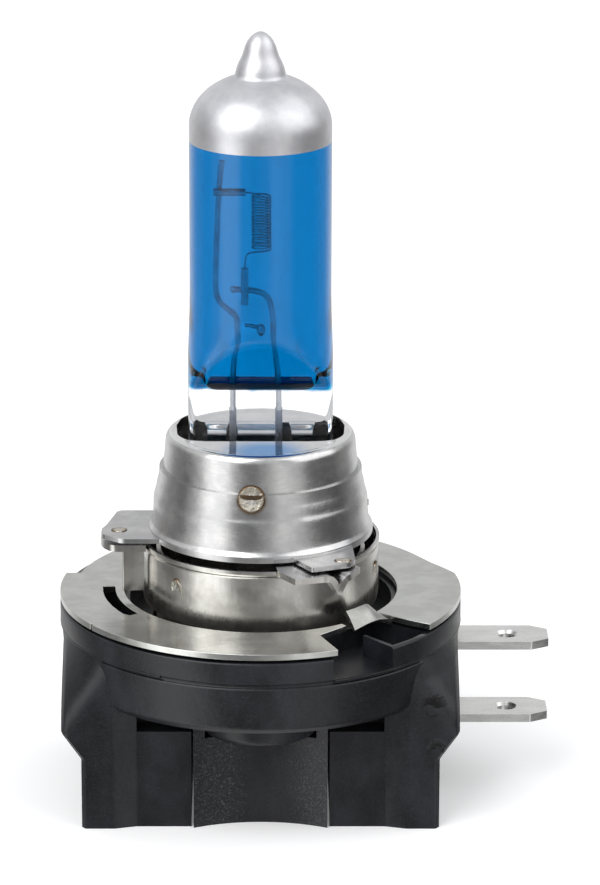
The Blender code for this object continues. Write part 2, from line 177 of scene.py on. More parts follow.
def sector(points: Iterable[Point], low: float, high: float) -> BMesh:
    """A prism whose outline is given as radius and angle."""
    return prism([polar(*point) for point in points], low, high)


def block(x: Point, y: Point, z: Point, rounding: float = 0.0) -> BMesh:
    """A box between pairs of X, Y and Z, with its upright edges rounded."""
    corners = [(x[0], y[0]), (x[1], y[0]), (x[1], y[1]), (x[0], y[1])]
    return prism([(*c, rounding) if rounding else c for c in corners], *z)


def bar(radius: float, start: Point, end: Point, sides: int = 32, end_radius: float = 0.0) -> BMesh:
    """A round bar between two points, tapered when end_radius is given."""
    bm = bmesh.new()
    axis = Vector(end) - Vector(start)
    turn = Vector((0, 0, 1)).rotation_difference(axis).to_matrix().to_4x4()
    bmesh.ops.create_cone(bm, cap_ends=True, segments=sides, radius1=radius,
                          radius2=end_radius or radius, depth=axis.length,
                          matrix=Matrix.Translation((Vector(start) + Vector(end)) / 2) @ turn)
    return bm


def as_object(name: str, bm: BMesh) -> bpy.types.Object:
    """Puts a bmesh in a new object of the scene, and frees the bmesh."""
    mesh = bpy.data.meshes.new(name)
    bm.to_mesh(mesh)
    bm.free()
    made = bpy.data.objects.new(name, mesh)
    bpy.context.scene.collection.objects.link(made)
    return made


def carve(stock: BMesh, tool: BMesh, operation: str = "DIFFERENCE") -> BMesh:
    """Cuts or joins two solids with an exact Boolean, and returns the result."""
    body, cutter = as_object("stock", stock), as_object("tool", tool)
    step = body.modifiers.new("Carve", "BOOLEAN")
    step.object, step.operation, step.solver = cutter, operation, "EXACT"
    result = bmesh.new()
    result.from_object(body, bpy.context.evaluated_depsgraph_get())
    for used in (body, cutter):
        bpy.data.meshes.remove(used.data)
    return result


def merged(first: BMesh, *others: BMesh) -> BMesh:
    """Puts several bmeshes in one, as separate shells."""
    for other in others:
        mesh = bpy.data.meshes.new("shell")
        other.to_mesh(mesh)
        other.free()
        first.from_mesh(mesh)
        bpy.data.meshes.remove(mesh)
    return first


def shaped(bm: BMesh, move: Callable[[Vector], Point]) -> BMesh:
    """Moves each vertex to where move() sends it."""
    for vert in bm.verts:
        vert.co = move(vert.co)
    return bm


def sheet(across: int, along: int, place: Callable[[float, float], Point], thickness: float) -> BMesh:
    """A bent sheet of metal.

    Args:
        across: Faces over the sheet's width.
        along: Faces over its length.
        place: Gives the point at shares of the width and the length, each from 0 to 1.
        thickness: Of the metal, all on one side of the sheet.

    Returns:
        A closed bmesh.
    """
    bm = bmesh.new()
    bmesh.ops.create_grid(bm, x_segments=across, y_segments=along, size=0.5)
    shaped(bm, lambda co: place(co.x + 0.5, co.y + 0.5))
    bmesh.ops.recalc_face_normals(bm, faces=bm.faces)
    bmesh.ops.solidify(bm, geom=bm.faces[:], thickness=thickness)
    bmesh.ops.recalc_face_normals(bm, faces=bm.faces)
    return bm


def tube(points: Sequence[Point], radius: float, sides: int = 6, smooth: bool = True) -> BMesh:
    """A round wire along points, with filled ends."""
    curve = bpy.data.curves.new("path", "CURVE")
    curve.dimensions = "3D"
    curve.resolution_u = 6
    spline = curve.splines.new("NURBS" if smooth else "POLY")
    spline.points.add(len(points) - 1)
    for target, place in zip(spline.points, points):
        target.co = (*place, 1.0)
    if smooth:
        spline.order_u, spline.use_endpoint_u = 3, True
    curve.bevel_depth, curve.bevel_resolution, curve.use_fill_caps = radius, sides, True
    made = bpy.data.objects.new("path", curve)
    bpy.context.scene.collection.objects.link(made)
    drawn = bpy.data.meshes.new_from_object(made.evaluated_get(bpy.context.evaluated_depsgraph_get()))
    bm = bmesh.new()
    bm.from_mesh(drawn)
    bpy.data.meshes.remove(drawn)
    bpy.data.curves.remove(curve)
    bmesh.ops.remove_doubles(bm, verts=bm.verts, dist=0.0005)
    bmesh.ops.recalc_face_normals(bm, faces=bm.faces)
    return bm


def publish(name: str, bm: BMesh, finishes: Sequence[bpy.types.Material],
            nodes: Sequence[str] = (), body: Body | None = Body.BULB, edge: float = 0.0,
            sharp: float = 35.0) -> bpy.types.Object:
    """Makes a finished piece from a bmesh in millimetres.

    Args:
        name: The piece's name.
        bm: The mesh, which is freed.
        finishes: Its materials, in slot order.
        nodes: CAD nodes that it stands for.
        body: The body that it rides on, or None for a piece that rides on no body.
        edge: Width of the rounding along its sharp edges.
        sharp: Edges over this many degrees stay sharp, or are rounded when edge is given.

    Returns:
        The piece's object.
    """
    bmesh.ops.scale(bm, vec=(MM, MM, MM), verts=bm.verts)
    made = as_object(name, bm)
    for finish in finishes:
        made.data.materials.append(finish)
    made.data.shade_smooth()
    if edge:
        rounding = made.modifiers.new("Edges", "BEVEL")
        rounding.width, rounding.segments = edge * MM, 2
        rounding.limit_method, rounding.angle_limit = "ANGLE", math.radians(sharp)
        rounding.harden_normals = True
    else:
        made.data.set_sharp_from_angle(angle=math.radians(sharp))
    if body:
        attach(made, body.value)
    if nodes:
        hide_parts(*nodes)
    LOG.info("%s: %d faces", name, len(made.data.polygons))
    return made


def dress(node: str, finish: bpy.types.Material) -> None:
    """Gives a CAD node that stays in view its finish."""
    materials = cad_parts[node].data.materials
    materials.clear()
    materials.append(finish)


# ---------------------------------------------------------------- finishes


class Wiring:
    """A node tree, with short calls for what the finishes and the world share."""

    def __init__(self, tree: bpy.types.NodeTree) -> None:
        """Takes the tree that the calls add to."""
        self.tree = tree

    def add(self, kind: str, inputs: dict | None = None, **settings: object) -> bpy.types.Node:
        """Adds a node, with its inputs linked or set."""
        node = self.tree.nodes.new(kind)
        for key, value in settings.items():
            setattr(node, key, value)
        self.feed(node, inputs or {})
        return node

    def feed(self, node: bpy.types.Node, inputs: dict) -> None:
        """Links or sets a node's inputs by name or number."""
        for key, value in inputs.items():
            if isinstance(value, bpy.types.NodeSocket):
                self.tree.links.new(value, node.inputs[key])
            else:
                node.inputs[key].default_value = value

    def math(self, operation: str, first: object, second: object = 0.0) -> bpy.types.NodeSocket:
        """A Math node's result."""
        return self.add("ShaderNodeMath", {0: first, 1: second}, operation=operation).outputs[0]

    def span(self, value: object, low: float, high: float, start: float = 0.0,
             end: float = 1.0) -> bpy.types.NodeSocket:
        """Value from low to high, mapped with soft ends to start to end."""
        return self.add("ShaderNodeMapRange", {"Value": value, "From Min": low, "From Max": high,
                                               "To Min": start, "To Max": end},
                        interpolation_type="SMOOTHSTEP").outputs[0]

    def mix(self, share: object, first: object, second: object) -> bpy.types.NodeSocket:
        """A blend of two colours."""
        node = self.add("ShaderNodeMix", data_type="RGBA")
        values = [(*v, 1.0) if isinstance(v, tuple) else v for v in (first, second)]
        self.feed(node, {0: share, 6: values[0], 7: values[1]})
        return node.outputs[2]


class Graph(Wiring):
    """A new material's nodes."""

    def __init__(self, name: str) -> None:
        """Starts a material with a Principled shader."""
        self.material = bpy.data.materials.new(name)
        self.material.use_nodes = True
        super().__init__(self.material.node_tree)
        self.shader = self.tree.nodes["Principled BSDF"]
        self.place = self.add("ShaderNodeTexCoord").outputs["Object"]

    def grain(self, per_mm: Point, detail: float = 3.0, rough: float = 0.55) -> bpy.types.NodeSocket:
        """Noise with this many spots to the millimetre along X, Y and Z."""
        scaled = self.add("ShaderNodeMapping", {"Vector": self.place, "Scale": [v / MM for v in per_mm]})
        return self.add("ShaderNodeTexNoise", {"Vector": scaled.outputs[0], "Scale": 1.0,
                                               "Detail": detail, "Roughness": rough}).outputs["Fac"]

    def distance(self, centre: Point) -> bpy.types.NodeSocket:
        """Millimetres from a point given in millimetres."""
        gap = self.add("ShaderNodeVectorMath", {0: self.place, 1: [v * MM for v in centre]},
                       operation="DISTANCE").outputs["Value"]
        return self.math("DIVIDE", gap, MM)

    def bump(self, height: object, depth: float, normal: object = None) -> bpy.types.NodeSocket:
        """A bump whose full height is this many millimetres."""
        inputs = {"Height": height, "Distance": depth * MM, "Strength": 1.0}
        if normal is not None:
            inputs["Normal"] = normal
        return self.add("ShaderNodeBump", inputs).outputs[0]

    def finish(self, **inputs: object) -> bpy.types.Material:
        """Sets the shader's inputs, with _ for a space in a name, and returns the material."""
        named = {key.replace("_", " "): value for key, value in inputs.items()}
        self.feed(self.shader, {k: (*v, 1.0) if isinstance(v, tuple) else v for k, v in named.items()})
        return self.material


@dataclass(frozen=True)
class HeatTintAndPaintedLight:
    """A round patch of colour: what a weld leaves on the steel, or painted light, such as the blue light that
    the capsule casts on the steel under it.
    """

    centre: Point
    inner: float
    outer: float
    colour: tuple[float, float, float] = (0.20, 0.125, 0.055)


@dataclass(frozen=True)
class Steel:
    """Bright sheet steel with the streaks of its drawing or rolling."""

    name: str
    colour: tuple[float, float, float]
    shade: tuple[float, float, float]
    roughness: float
    streaks: Point
    streak_depth: float = 0.004
    # weld heat tints, and patches of painted light
    tints_and_painted_light: tuple[HeatTintAndPaintedLight, ...] = ()
    warm_below: float = 0.0
    streaky: float = 0.22

    def make(self) -> bpy.types.Material:
        """Builds the material."""
        graph = Graph(self.name)
        streak = graph.grain(self.streaks, 4.0, 0.6)
        cloud = graph.grain((0.35, 0.35, 0.35), 4.0, 0.6)
        tone = graph.mix(graph.span(cloud, 0.38, 0.66), self.shade, self.colour)
        tone = graph.mix(graph.span(streak, 0.3, 0.75, 0.0, self.streaky), tone, self.shade)
        if self.warm_below:
            height = graph.add("ShaderNodeSeparateXYZ", {0: graph.place}).outputs[2]
            low = graph.span(height, self.warm_below * MM, (self.warm_below - 3.5) * MM)
            tone = graph.mix(graph.math("MULTIPLY", low, 0.35), tone, (0.45, 0.38, 0.28))
        # Each patch is a weld's heat tint, or painted light such as the capsule's blue light on the steel.
        for tint in self.tints_and_painted_light:
            gap = graph.math("ADD", graph.distance(tint.centre), graph.math("MULTIPLY", cloud, 0.4))
            tone = graph.mix(graph.span(gap, tint.outer + 0.2, tint.inner, 0.0, 0.9), tone, tint.colour)
        rough = graph.span(graph.math("ADD", streak, cloud), 0.6, 1.4,
                           self.roughness * 0.75, self.roughness * 1.3)
        if self.warm_below:
            rough = graph.math("ADD", rough, graph.math("MULTIPLY", low, 0.3))
        fine = graph.bump(graph.grain((1.1, 1.1, 1.1), 2.0), 0.006)
        return graph.finish(Base_Color=tone, Metallic=1.0, Roughness=rough,
                            Normal=graph.bump(streak, self.streak_depth, fine))


@dataclass(frozen=True)
class WeldMark:
    """A resistance weld: a silvery dimple inside a brown ring."""

    name: str
    centre: Point
    radius: float

    def make(self) -> bpy.types.Material:
        """Builds the material."""
        graph = Graph(self.name)
        wobble = graph.grain((2.2, 2.2, 2.2), 3.0)
        gap = graph.math("ADD", graph.distance(self.centre), graph.math("MULTIPLY", wobble, 0.25))
        share = graph.math("DIVIDE", gap, self.radius)
        tone = graph.mix(graph.span(share, 0.35, 0.75), (0.64, 0.62, 0.58), (0.55, 0.51, 0.43))
        tone = graph.mix(graph.span(share, 0.88, 1.02), tone, (0.11, 0.065, 0.03))
        return graph.finish(Base_Color=tone, Metallic=1.0, Roughness=graph.span(wobble, 0.3, 0.7, 0.22, 0.42),
                            Normal=graph.bump(graph.grain((3.0, 3.0, 3.0), 4.0), 0.09))


@dataclass(frozen=True)
class Plastic:
    """Black glass-filled nylon, with the grey bloom and scuffs of a moulding."""

    name: str
    colour: tuple[float, float, float]
    bloom: tuple[float, float, float]
    roughness: float
    speckle: float
    scuffs: tuple[tuple[Point, float], ...] = ()
    glint_free_half: float = 0.0  # half width of a middle strip where the lighter speckle, partly painted glints, fades out

    def make(self) -> bpy.types.Material:
        """Builds the material."""
        graph = Graph(self.name)
        cloud = graph.grain((0.16, 0.16, 0.1), 5.0, 0.6)
        grit = graph.grain((5.5, 5.5, 5.5), 3.0, 0.75)
        tone = graph.mix(graph.span(cloud, 0.35, 0.7), self.colour, self.bloom)
        # Lighter speckle: partly the moulding's real grit, partly painted glints. Where a middle strip is
        # given, it fades there as a painted reflection.
        grit_and_painted_glints = graph.span(grit, 0.50, 0.66, 0.0, 0.10 + self.speckle)
        if self.glint_free_half:
            across = graph.add("ShaderNodeSeparateXYZ", {0: graph.place}).outputs[0]
            off = graph.math("ABSOLUTE", graph.math("SUBTRACT", across, 0.9 * MM))
            grit_and_painted_glints = graph.math("MULTIPLY", grit_and_painted_glints, graph.span(off, self.glint_free_half * MM,
                                                           (self.glint_free_half + 3.2) * MM, 0.12, 1.0))
        tone = graph.mix(grit_and_painted_glints, tone, (0.085, 0.088, 0.096))
        dull: object = 0.0
        skin = graph.bump(graph.grain((1.6, 1.6, 1.6), 3.0), 0.02)
        for centre, reach in self.scuffs:
            torn = graph.grain((0.4, 0.4, 1.3), 5.0, 0.7)
            near = graph.span(graph.distance(centre), 2.6 * reach, 0.8 * reach)
            mark = graph.math("MULTIPLY", near, graph.span(torn, 0.50, 0.54))
            tone = graph.mix(mark, tone, (0.001, 0.001, 0.001))
            dull = graph.math("MAXIMUM", dull, graph.math("MULTIPLY", mark, 0.5))
            skin = graph.bump(mark, 0.2, skin)
        rough = graph.span(graph.math("ADD", cloud, grit), 0.7, 1.4,
                           self.roughness * 0.8, self.roughness * 1.2)
        return graph.finish(Base_Color=tone, Roughness=graph.math("ADD", rough, dull), Specular_IOR_Level=0.4,
                            Normal=graph.bump(grit, 0.008 + 0.07 * self.speckle, skin))


@dataclass(frozen=True)
class Quartz:
    """Fused quartz, with a tint that fades out below a height: the blue coat of the dip, or painted shade on
    the cavity floor.
    """

    name: str
    coat: tuple[float, float, float]
    coat_end: float
    ripple: float

    def make(self) -> bpy.types.Material:
        """Builds the material."""
        graph = Graph(self.name)
        split = graph.add("ShaderNodeSeparateXYZ", {0: graph.place})
        wave = graph.grain((0.45, 0.45, 0.45), 2.0)
        edge = graph.math("ADD", split.outputs[2], graph.math("MULTIPLY", split.outputs[1], 0.12))
        edge = graph.math("ADD", edge, graph.math("MULTIPLY", wave, 0.9 * MM))
        coated = graph.span(edge, (self.coat_end + 0.25) * MM, (self.coat_end + 0.75) * MM)
        tone = graph.mix(coated, (0.98, 0.985, 1.0), self.coat)
        return graph.finish(Base_Color=tone, Roughness=0.02, IOR=1.46, Transmission_Weight=1.0,
                            Normal=graph.bump(wave, self.ripple))


@dataclass(frozen=True)
class SilverCoat:
    """The satin silver paint on the tip."""

    name: str = "silver_coat"

    def make(self) -> bpy.types.Material:
        """Builds the material."""
        graph = Graph(self.name)
        cloud = graph.grain((0.6, 0.6, 0.6), 4.0)
        grit = graph.grain((9.0, 9.0, 9.0), 2.0, 0.7)
        tone = graph.mix(graph.span(cloud, 0.3, 0.7), (0.60, 0.60, 0.63), (0.70, 0.70, 0.72))
        return graph.finish(Base_Color=tone, Metallic=0.9, Roughness=graph.span(grit, 0.3, 0.7, 0.36, 0.48),
                            Normal=graph.bump(grit, 0.006))


@dataclass(frozen=True)
class PlainMetal:
    """Drawn wire or tinned strip."""

    name: str
    colour: tuple[float, float, float]
    roughness: float
    spots: Point = (2.0, 2.0, 2.0)
    depth: float = 0.006
    mottle: float = 0.28

    def make(self) -> bpy.types.Material:
        """Builds the material."""
        graph = Graph(self.name)
        grain = graph.grain(self.spots, 4.0, 0.65)
        cloud = graph.grain((0.3, 0.5, 0.5), 3.0)
        dark = tuple((1 - self.mottle) * c for c in self.colour)
        tone = graph.mix(graph.span(graph.math("ADD", grain, cloud), 0.75, 1.25), dark, self.colour)
        return graph.finish(Base_Color=tone, Metallic=1.0,
                            Roughness=graph.span(grain, 0.3, 0.7, self.roughness * 0.8, self.roughness * 1.3),
                            Normal=graph.bump(grain, self.depth))


# ---------------------------------------------------------------- capsule


@dataclass
class Capsule:
    """The quartz capsule: silvered tip, blue tube and clear pinch, hollow down to the pinch."""

    radius: float = 6.75
    wall: float = 1.1
    dome_z: float = 66.07
    dome_height: float = 5.0
    silver_z: float = 64.66
    pinch_radius: float = 6.95
    pinch_half: float = 2.2
    pinch_top: float = 41.0
    pinch_bottom: float = 31.0
    press_slope: float = 0.756
    nipple: tuple[Point, ...] = ((0.0, 75.0), (0.3, 74.96), (0.6, 74.8), (0.95, 74.5), (1.25, 74.1),
                                 (1.47, 73.6), (1.62, 73.1), (1.8, 72.6), (2.05, 72.1), (2.25, 71.6),
                                 (2.38, 71.1), (2.45, 70.85), (2.6, 70.72))

    def dome(self, radius: float, height: float, start: float, steps: int) -> list[Point]:
        """Points down a half ellipse, from start degrees off the axis to its equator."""
        angles = [math.radians(start + (90 - start) * i / steps) for i in range(steps + 1)]
        return [(radius * math.sin(a), self.dome_z + height * math.cos(a)) for a in angles]

    def pressed(self, bm: BMesh, half: float, blend: float) -> BMesh:
        """Flattens the lower end between two jaws that open upwards from the pinch."""

        def squeeze(co: Vector) -> Point:
            """Presses one point in between the jaws."""
            limit = half + self.press_slope * max(co.z - self.pinch_top, 0.0)
            depth = abs(co.y)
            overlap = max(blend - abs(depth - limit), 0.0) / blend
            depth = min(depth, limit) - overlap * overlap * blend / 4 * (depth > 0.05)
            return co.x, math.copysign(max(depth, 0.0), co.y), co.z

        return shaped(bm, squeeze)

    def outside(self) -> BMesh:
        """The outer surface, with the silvered part as material 0 and the rest as material 1."""
        profile = list(self.nipple) + self.dome(self.radius, self.dome_height, 24.5, 16)
        profile += [(self.radius, 50.0), (6.78, 48.0), (6.86, 46.0), (6.93, 44.0),
                    (self.pinch_radius, 42.0), (self.pinch_radius, self.pinch_bottom, 0.5),
                    (0.0, self.pinch_bottom)]
        bm = self.pressed(turned(profile, longest=0.5), self.pinch_half, 0.9)
        bmesh.ops.bisect_plane(bm, geom=bm.verts[:] + bm.edges[:] + bm.faces[:],
                               plane_co=(0, 0, self.silver_z), plane_no=(0, 0, 1))
        for face in bm.faces:
            face.material_index = int(face.calc_center_median().z < self.silver_z)
        return bm

    def inside(self) -> BMesh:
        """The cavity's surface, facing into the cavity: material 2, and material 3 on its floor."""
        radius = self.radius - self.wall
        floor = self.pinch_top - 0.4
        profile = self.dome(radius, self.dome_height - self.wall, 0, 12)
        profile += [(radius, 46.0), (radius, 43.0), (5.55, 41.8, 0.8), (5.0, floor, 0.7), (0.0, floor)]
        bm = self.pressed(turned(profile, longest=0.6), self.pinch_half - 1.0, 0.5)
        bmesh.ops.reverse_faces(bm, faces=bm.faces)
        for face in bm.faces:
            face.material_index = 3 if face.calc_center_median().z < self.pinch_top + 0.35 else 2
        return bm

    def build(self) -> None:
        """Makes the capsule."""
        finishes = [SilverCoat().make(),
                    Quartz("blue_coated_quartz", (0.0, 0.155, 0.42), 40.4, 0.01).make(),
                    Quartz("clear_quartz", (0.99, 0.99, 1.0), -10.0, 0.008).make(),
                    # Painted shade: the cavity floor is tinted near black for the dark that shows there
                    # through the glass.
                    Quartz("quartz_painted_dark", (0.0, 0.002, 0.012), -10.0, 0.02).make()]
        publish("quartz_capsule", merged(self.outside(), self.inside()), finishes,
                ["glass_envelope"], sharp=60.0)


@dataclass
class Burner:
    """What the capsule holds: the coil, its posts and clamps, and the foils in the pinch."""

    lead_x: tuple[float, float] = (-2.65, 1.75)
    lead_radius: float = 0.28
    coil_radius: float = 0.88
    coil_wire: float = 0.085
    coil_x: float = 0.085
    coil_z: tuple[float, float] = (54.1, 59.4)
    turns: int = 20
    per_turn: int = 20
    tungsten: bpy.types.Material = field(
        default_factory=lambda: PlainMetal("tungsten", (0.62, 0.63, 0.66), 0.38, (6, 6, 6)).make())
    dark_wire: bpy.types.Material = field(
        default_factory=lambda: PlainMetal("molybdenum", (0.75, 0.76, 0.78), 0.4, (3, 3, 1)).make())

    def coil(self) -> None:
        """The filament: an upper leg, the coil and a lower leg, in one wire."""
        high, low = self.coil_z[1], self.coil_z[0]
        points = [(-3.0, -0.7, 59.8), (-1.3, -0.7, 59.8), (-0.3, -0.9, 59.7)]
        for i in range(self.turns * self.per_turn + 1):
            x, y = polar(self.coil_radius, -90 - 360 * i / self.per_turn)
            points.append((x + self.coil_x, y, high - (high - low) * i / (self.turns * self.per_turn)))
        points += [(-0.9, -0.8, 54.0), (-1.5, -0.7, 53.7), (-1.5, -0.7, 51.0)]
        publish("coil_filament", tube(points, self.coil_wire, 2), [self.tungsten],
                ["filament"])

    def posts(self) -> None:
        """The two support posts and the short stub between them."""
        left, right = self.lead_x
        long_post = [(left, 38.3), (left, 41.4), (-2.55, 43.5), (-2.15, 46.6), (-2.35, 47.6), (-3.3, 48.3),
                     (-4.1, 49.1), (-4.35, 50.4), (-4.25, 52.8), (-4.0, 59.8), (-3.65, 62.7)]
        hook = [(right, 38.3), (right, 41.4), (1.45, 43.6), (1.2, 46.8), (1.05, 48.6), (0.5, 49.75),
                (-0.9, 50.15), (-2.6, 50.15)]
        stub = [(-1.5, 46.6), (-0.5, 46.6), (0.05, 46.3)]
        for name, path, radius, node in (("long_post", long_post, self.lead_radius, "long_support_post"),
                                         ("hooked_post", hook, self.lead_radius, "hooked_support_post"),
                                         ("stub_wire", stub, 0.16, "centre_stub_wire")):
            bm = tube([(x, 0.0, z) for x, z in path], radius)
            if name != "long_post":
                ball = bmesh.new()
                size = 0.42 if name == "stub_wire" else 0.34
                bmesh.ops.create_icosphere(ball, subdivisions=3, radius=size, matrix=Matrix.Translation(
                    (path[-1][0], 0.0, path[-1][1])))
                bm = carve(bm, ball, "UNION")
            publish(name, bm, [self.dark_wire], [node])

    def clamps(self) -> None:
        """The two tubes crimped on the filament's legs, pinched flat in the middle."""
        places = (("upper_crimp", (-4.4, -0.6, 59.8), (-1.4, -0.6, 59.8), "upper_filament_clamp"),
                  ("lower_crimp", (-1.5, -0.6, 48.8), (-1.5, -0.6, 52.4), "lower_filament_clamp"))
        for name, start, end, node in places:
            first, last = Vector(start), Vector(end)
            joint = [first.lerp(last, share) for share in (0.0, 0.3, 0.42, 0.58, 0.7, 1.0)]
            bm = tube(joint, 0.36, 4)
            middle = (first + last) / 2

            def crimp(co: Vector, middle: Vector = middle) -> Point:
                """Flattens the tube round its middle."""
                flat = 1 - eased((co - middle).length, 0.25, 0.6)
                return co.x, middle.y + (co.y - middle.y) * (1 - 0.35 * flat), co.z

            publish(name, shaped(bm, crimp), [self.dark_wire], [node])

    def foils(self) -> None:
        """The foils sealed in the pinch."""
        foil = PlainMetal("molybdenum_foil", (0.42, 0.43, 0.46), 0.3, (1, 1, 0.3)).make()
        for x, word in zip(self.lead_x, ("left", "right")):
            strip = [(x - 0.34, -0.1), (x + 0.34, -0.1), (x + 0.34, 0.1), (x - 0.34, 0.1)]
            publish(f"{word}_foil_strip", prism(strip, 33.2, 38.6), [foil],
                    [f"{word}_foil"], edge=0.04)

    def build(self) -> None:
        """Makes every piece in the capsule."""
        self.coil()
        self.posts()
        self.clamps()
        self.foils()


# ---------------------------------------------------------------- steel cap


@dataclass
class WeldSpot:
    """A weld dimple laid on the steel round it."""

    name: str
    centre: Point
    normal: Point
    size: tuple[float, float]
    wrap: float = 0.0

    def build(self) -> None:
        """Makes the dimple: a low rim, and a shallow pit inside it."""
        wide, tall = self.size
        rings = [(0.0, 0.0), (0.4, 0.0), (0.72, 0.02), (0.86, 0.06), (0.94, 0.04), (1.0, -0.06)]
        bm = turned(rings, steps=48)
        out = Vector(self.normal).normalized()
        side = Vector((0, 0, 1)).cross(out)
        side = side.normalized() if side.length > 0.01 else Vector((1, 0, 0))
        up = out.cross(side)
        centre = Vector(self.centre)

        def place(co: Vector) -> Point:
            """Lays one point of the dimple on the steel."""
            x, y = co.x * wide / 2, co.y * tall / 2
            sag = self.wrap - math.sqrt(max(self.wrap**2 - x * x, 0.0)) if self.wrap else 0.0
            return centre + side * x + up * y + out * (co.z - sag)

        mark = WeldMark(f"{self.name}_mark", self.centre, max(wide, tall) / 2).make()
        publish(self.name, shaped(bm, place), [mark], sharp=80.0)


@dataclass
class Cap:
    """The drawn steel cap: top cup, outer cup, clip, locating ring and its tabs."""

    top_z: float = 36.15
    seam_z: float = 32.6
    cup_foot: float = 26.2
    ring_radius: float = 11.5
    tab_face: float = 25.1
    cup_wall: float = 0.36
    ring_wall: float = 0.3
    weld_angle: float = -95.2
    steel: bpy.types.Material = field(init=False)
    polished: bpy.types.Material = field(init=False)
    ring_steel: bpy.types.Material = field(init=False)

    def __post_init__(self) -> None:
        """Makes the three steels."""
        weld = (*polar(9.8, self.weld_angle), 32.15)
        self.steel = Steel("drawn_steel", (0.64, 0.635, 0.63), (0.50, 0.50, 0.505), 0.23,
                           (0.9, 0.9, 5.0), 0.0015, tints_and_painted_light=(HeatTintAndPaintedLight(weld, 1.3, 1.6),)).make()
        # Painted light: the blue light that falls through the coated capsule onto the top face, painted into
        # the steel's colour.
        painted_blue_light = HeatTintAndPaintedLight((0.4, -6.8, 36.0), 1.6, 5.2, (0.03, 0.30, 0.72))
        self.polished = Steel("polished_steel", (0.86, 0.86, 0.855), (0.78, 0.78, 0.78), 0.09,
                              (0.5, 4.0, 1.0), 0.0006, (painted_blue_light,), streaky=0.1).make()
        self.ring_steel = Steel("ring_steel", (0.64, 0.625, 0.595), (0.48, 0.465, 0.44), 0.21,
                                (2.6, 2.6, 0.35), 0.003, warm_below=21.8).make()

    def top_cup(self) -> None:
        """The small drawn cup round the pinch, with its wide opening."""
        outer = [(0.0, 35.95), (7.7, 35.95, 0.3), (8.25, self.top_z, 0.35), (9.1, 36.0, 0.75),
                 (9.2, 34.3, 0.8), (9.38, 32.8), (9.38, 29.6)]
        inner = [(8.98, 29.6), (8.98, 32.8), (8.8, 34.3, 0.6), (8.7, 35.6, 0.4), (0.0, 35.6)]
        cup = turned(outer + inner)
        opening = [(-5.0, -3.3, 0.5), (-6.9, -3.0, 0.7), (-7.95, -1.9, 0.7), (-8.1, 1.5), (-7.6, 4.1, 0.8),
                   (-6.5, 5.3, 0.5), (-5.6, 4.4, 0.5), (5.6, 4.4, 0.5), (6.5, 5.2, 0.5), (7.6, 4.1, 0.8),
                   (8.1, 1.5), (7.95, -1.9, 0.7), (6.9, -3.0, 0.7), (5.0, -3.3, 0.5)]
        cup = carve(cup, prism(opening, 35.0, 37.0))
        for face in cup.faces:
            face.material_index = int(face.normal.z > 0.9 and face.calc_center_median().z > 35.7)
        publish("drawn_top_cup", cup, [self.steel, self.polished], ["top_cup"], edge=0.07)

    def clip(self) -> None:
        """The spring frame that grips the pinch, with three fingers behind and in front."""
        band = [(-7.7, -3.0, 0.6), (7.7, -3.0, 0.6), (7.7, 3.0, 0.6), (-7.7, 3.0, 0.6)]
        hole = [(-7.3, -2.6, 0.4), (7.3, -2.6, 0.4), (7.3, 2.6, 0.4), (-7.3, 2.6, 0.4)]
        bm = carve(prism(band, 31.6, 34.2), prism(hole, 31.0, 35.0))
        for side, top in ((1, 36.35), (-1, 35.85)):
            for left, right in ((-5.1, -3.3), (-2.2, 1.6), (3.0, 5.0)):
                bm = carve(bm, self.finger(side, top, left, right), "UNION")
        publish("clip_fingers", bm, [self.polished], ["pinch_clip"], edge=0.05)

    def finger(self, side: int, top: float, left: float, right: float) -> BMesh:
        """One finger: upright against the pinch, flared and bent away at its top."""
        low = 33.6

        def place(across: float, along: float) -> Point:
            """Where the finger lies, at these shares of its width and height."""
            lean = eased(along, 0.6, 1.0)
            flare = 0.28 * eased(along, 0.7, 1.0) + 0.12 * (1 - eased(along, 0.0, 0.5))
            x = left - flare + (right - left + 2 * flare) * across
            return x, side * (2.8 + 0.75 * lean), low + (top - low) * along

        return sheet(8, 14, place, 0.3)

    def outer_cup(self) -> None:
        """The wider drawn cup, whose three tabs are welded to the ring's."""
        outer = [(9.74, self.seam_z), (9.8, 31.7, 0.3), (10.0, 31.0, 0.35), (10.08, 30.4, 0.25),
                 (10.33, 29.7, 0.35), (10.36, 27.9, 0.7), (10.55, 27.1, 0.35), (10.85, 26.75, 0.2),
                 (10.85, self.cup_foot)]
        cup = turned(shell(outer, self.cup_wall), closed=True)
        left = [(-10.3, 4.0), (-13.9, 4.0, 0.5), (-15.35, -2.6, 0.3), (-15.2, -3.4, 0.4), (-13.3, -4.9, 0.5),
                (-9.6, -4.9)]
        front = [(2.9, -10.2), (4.85, -13.4, 0.25), (8.4, -12.0, 0.35), (8.95, -10.9, 0.3), (8.7, -6.5)]
        rear = [polar(14.6, 46), polar(15.0, 57), polar(14.6, 68), polar(10.6, 74), polar(10.6, 40)]
        for outline in (left, front, rear):
            cup = carve(cup, prism(outline, self.cup_foot, self.cup_foot + 0.45), "UNION")
        publish("drawn_outer_cup", cup, [self.steel], ["outer_cup"], edge=0.08)

    def front_tab(self) -> BMesh:
        """The ring's front tab, with the V that locates the bulb's turn."""
        outline = [(1.6, -12.3), (3.2, -14.7), (5.9, -14.0), (6.3, -13.95), (7.0, -13.75), (7.7, -13.6),
                   (8.4, -13.4), (9.4, -11.2)]

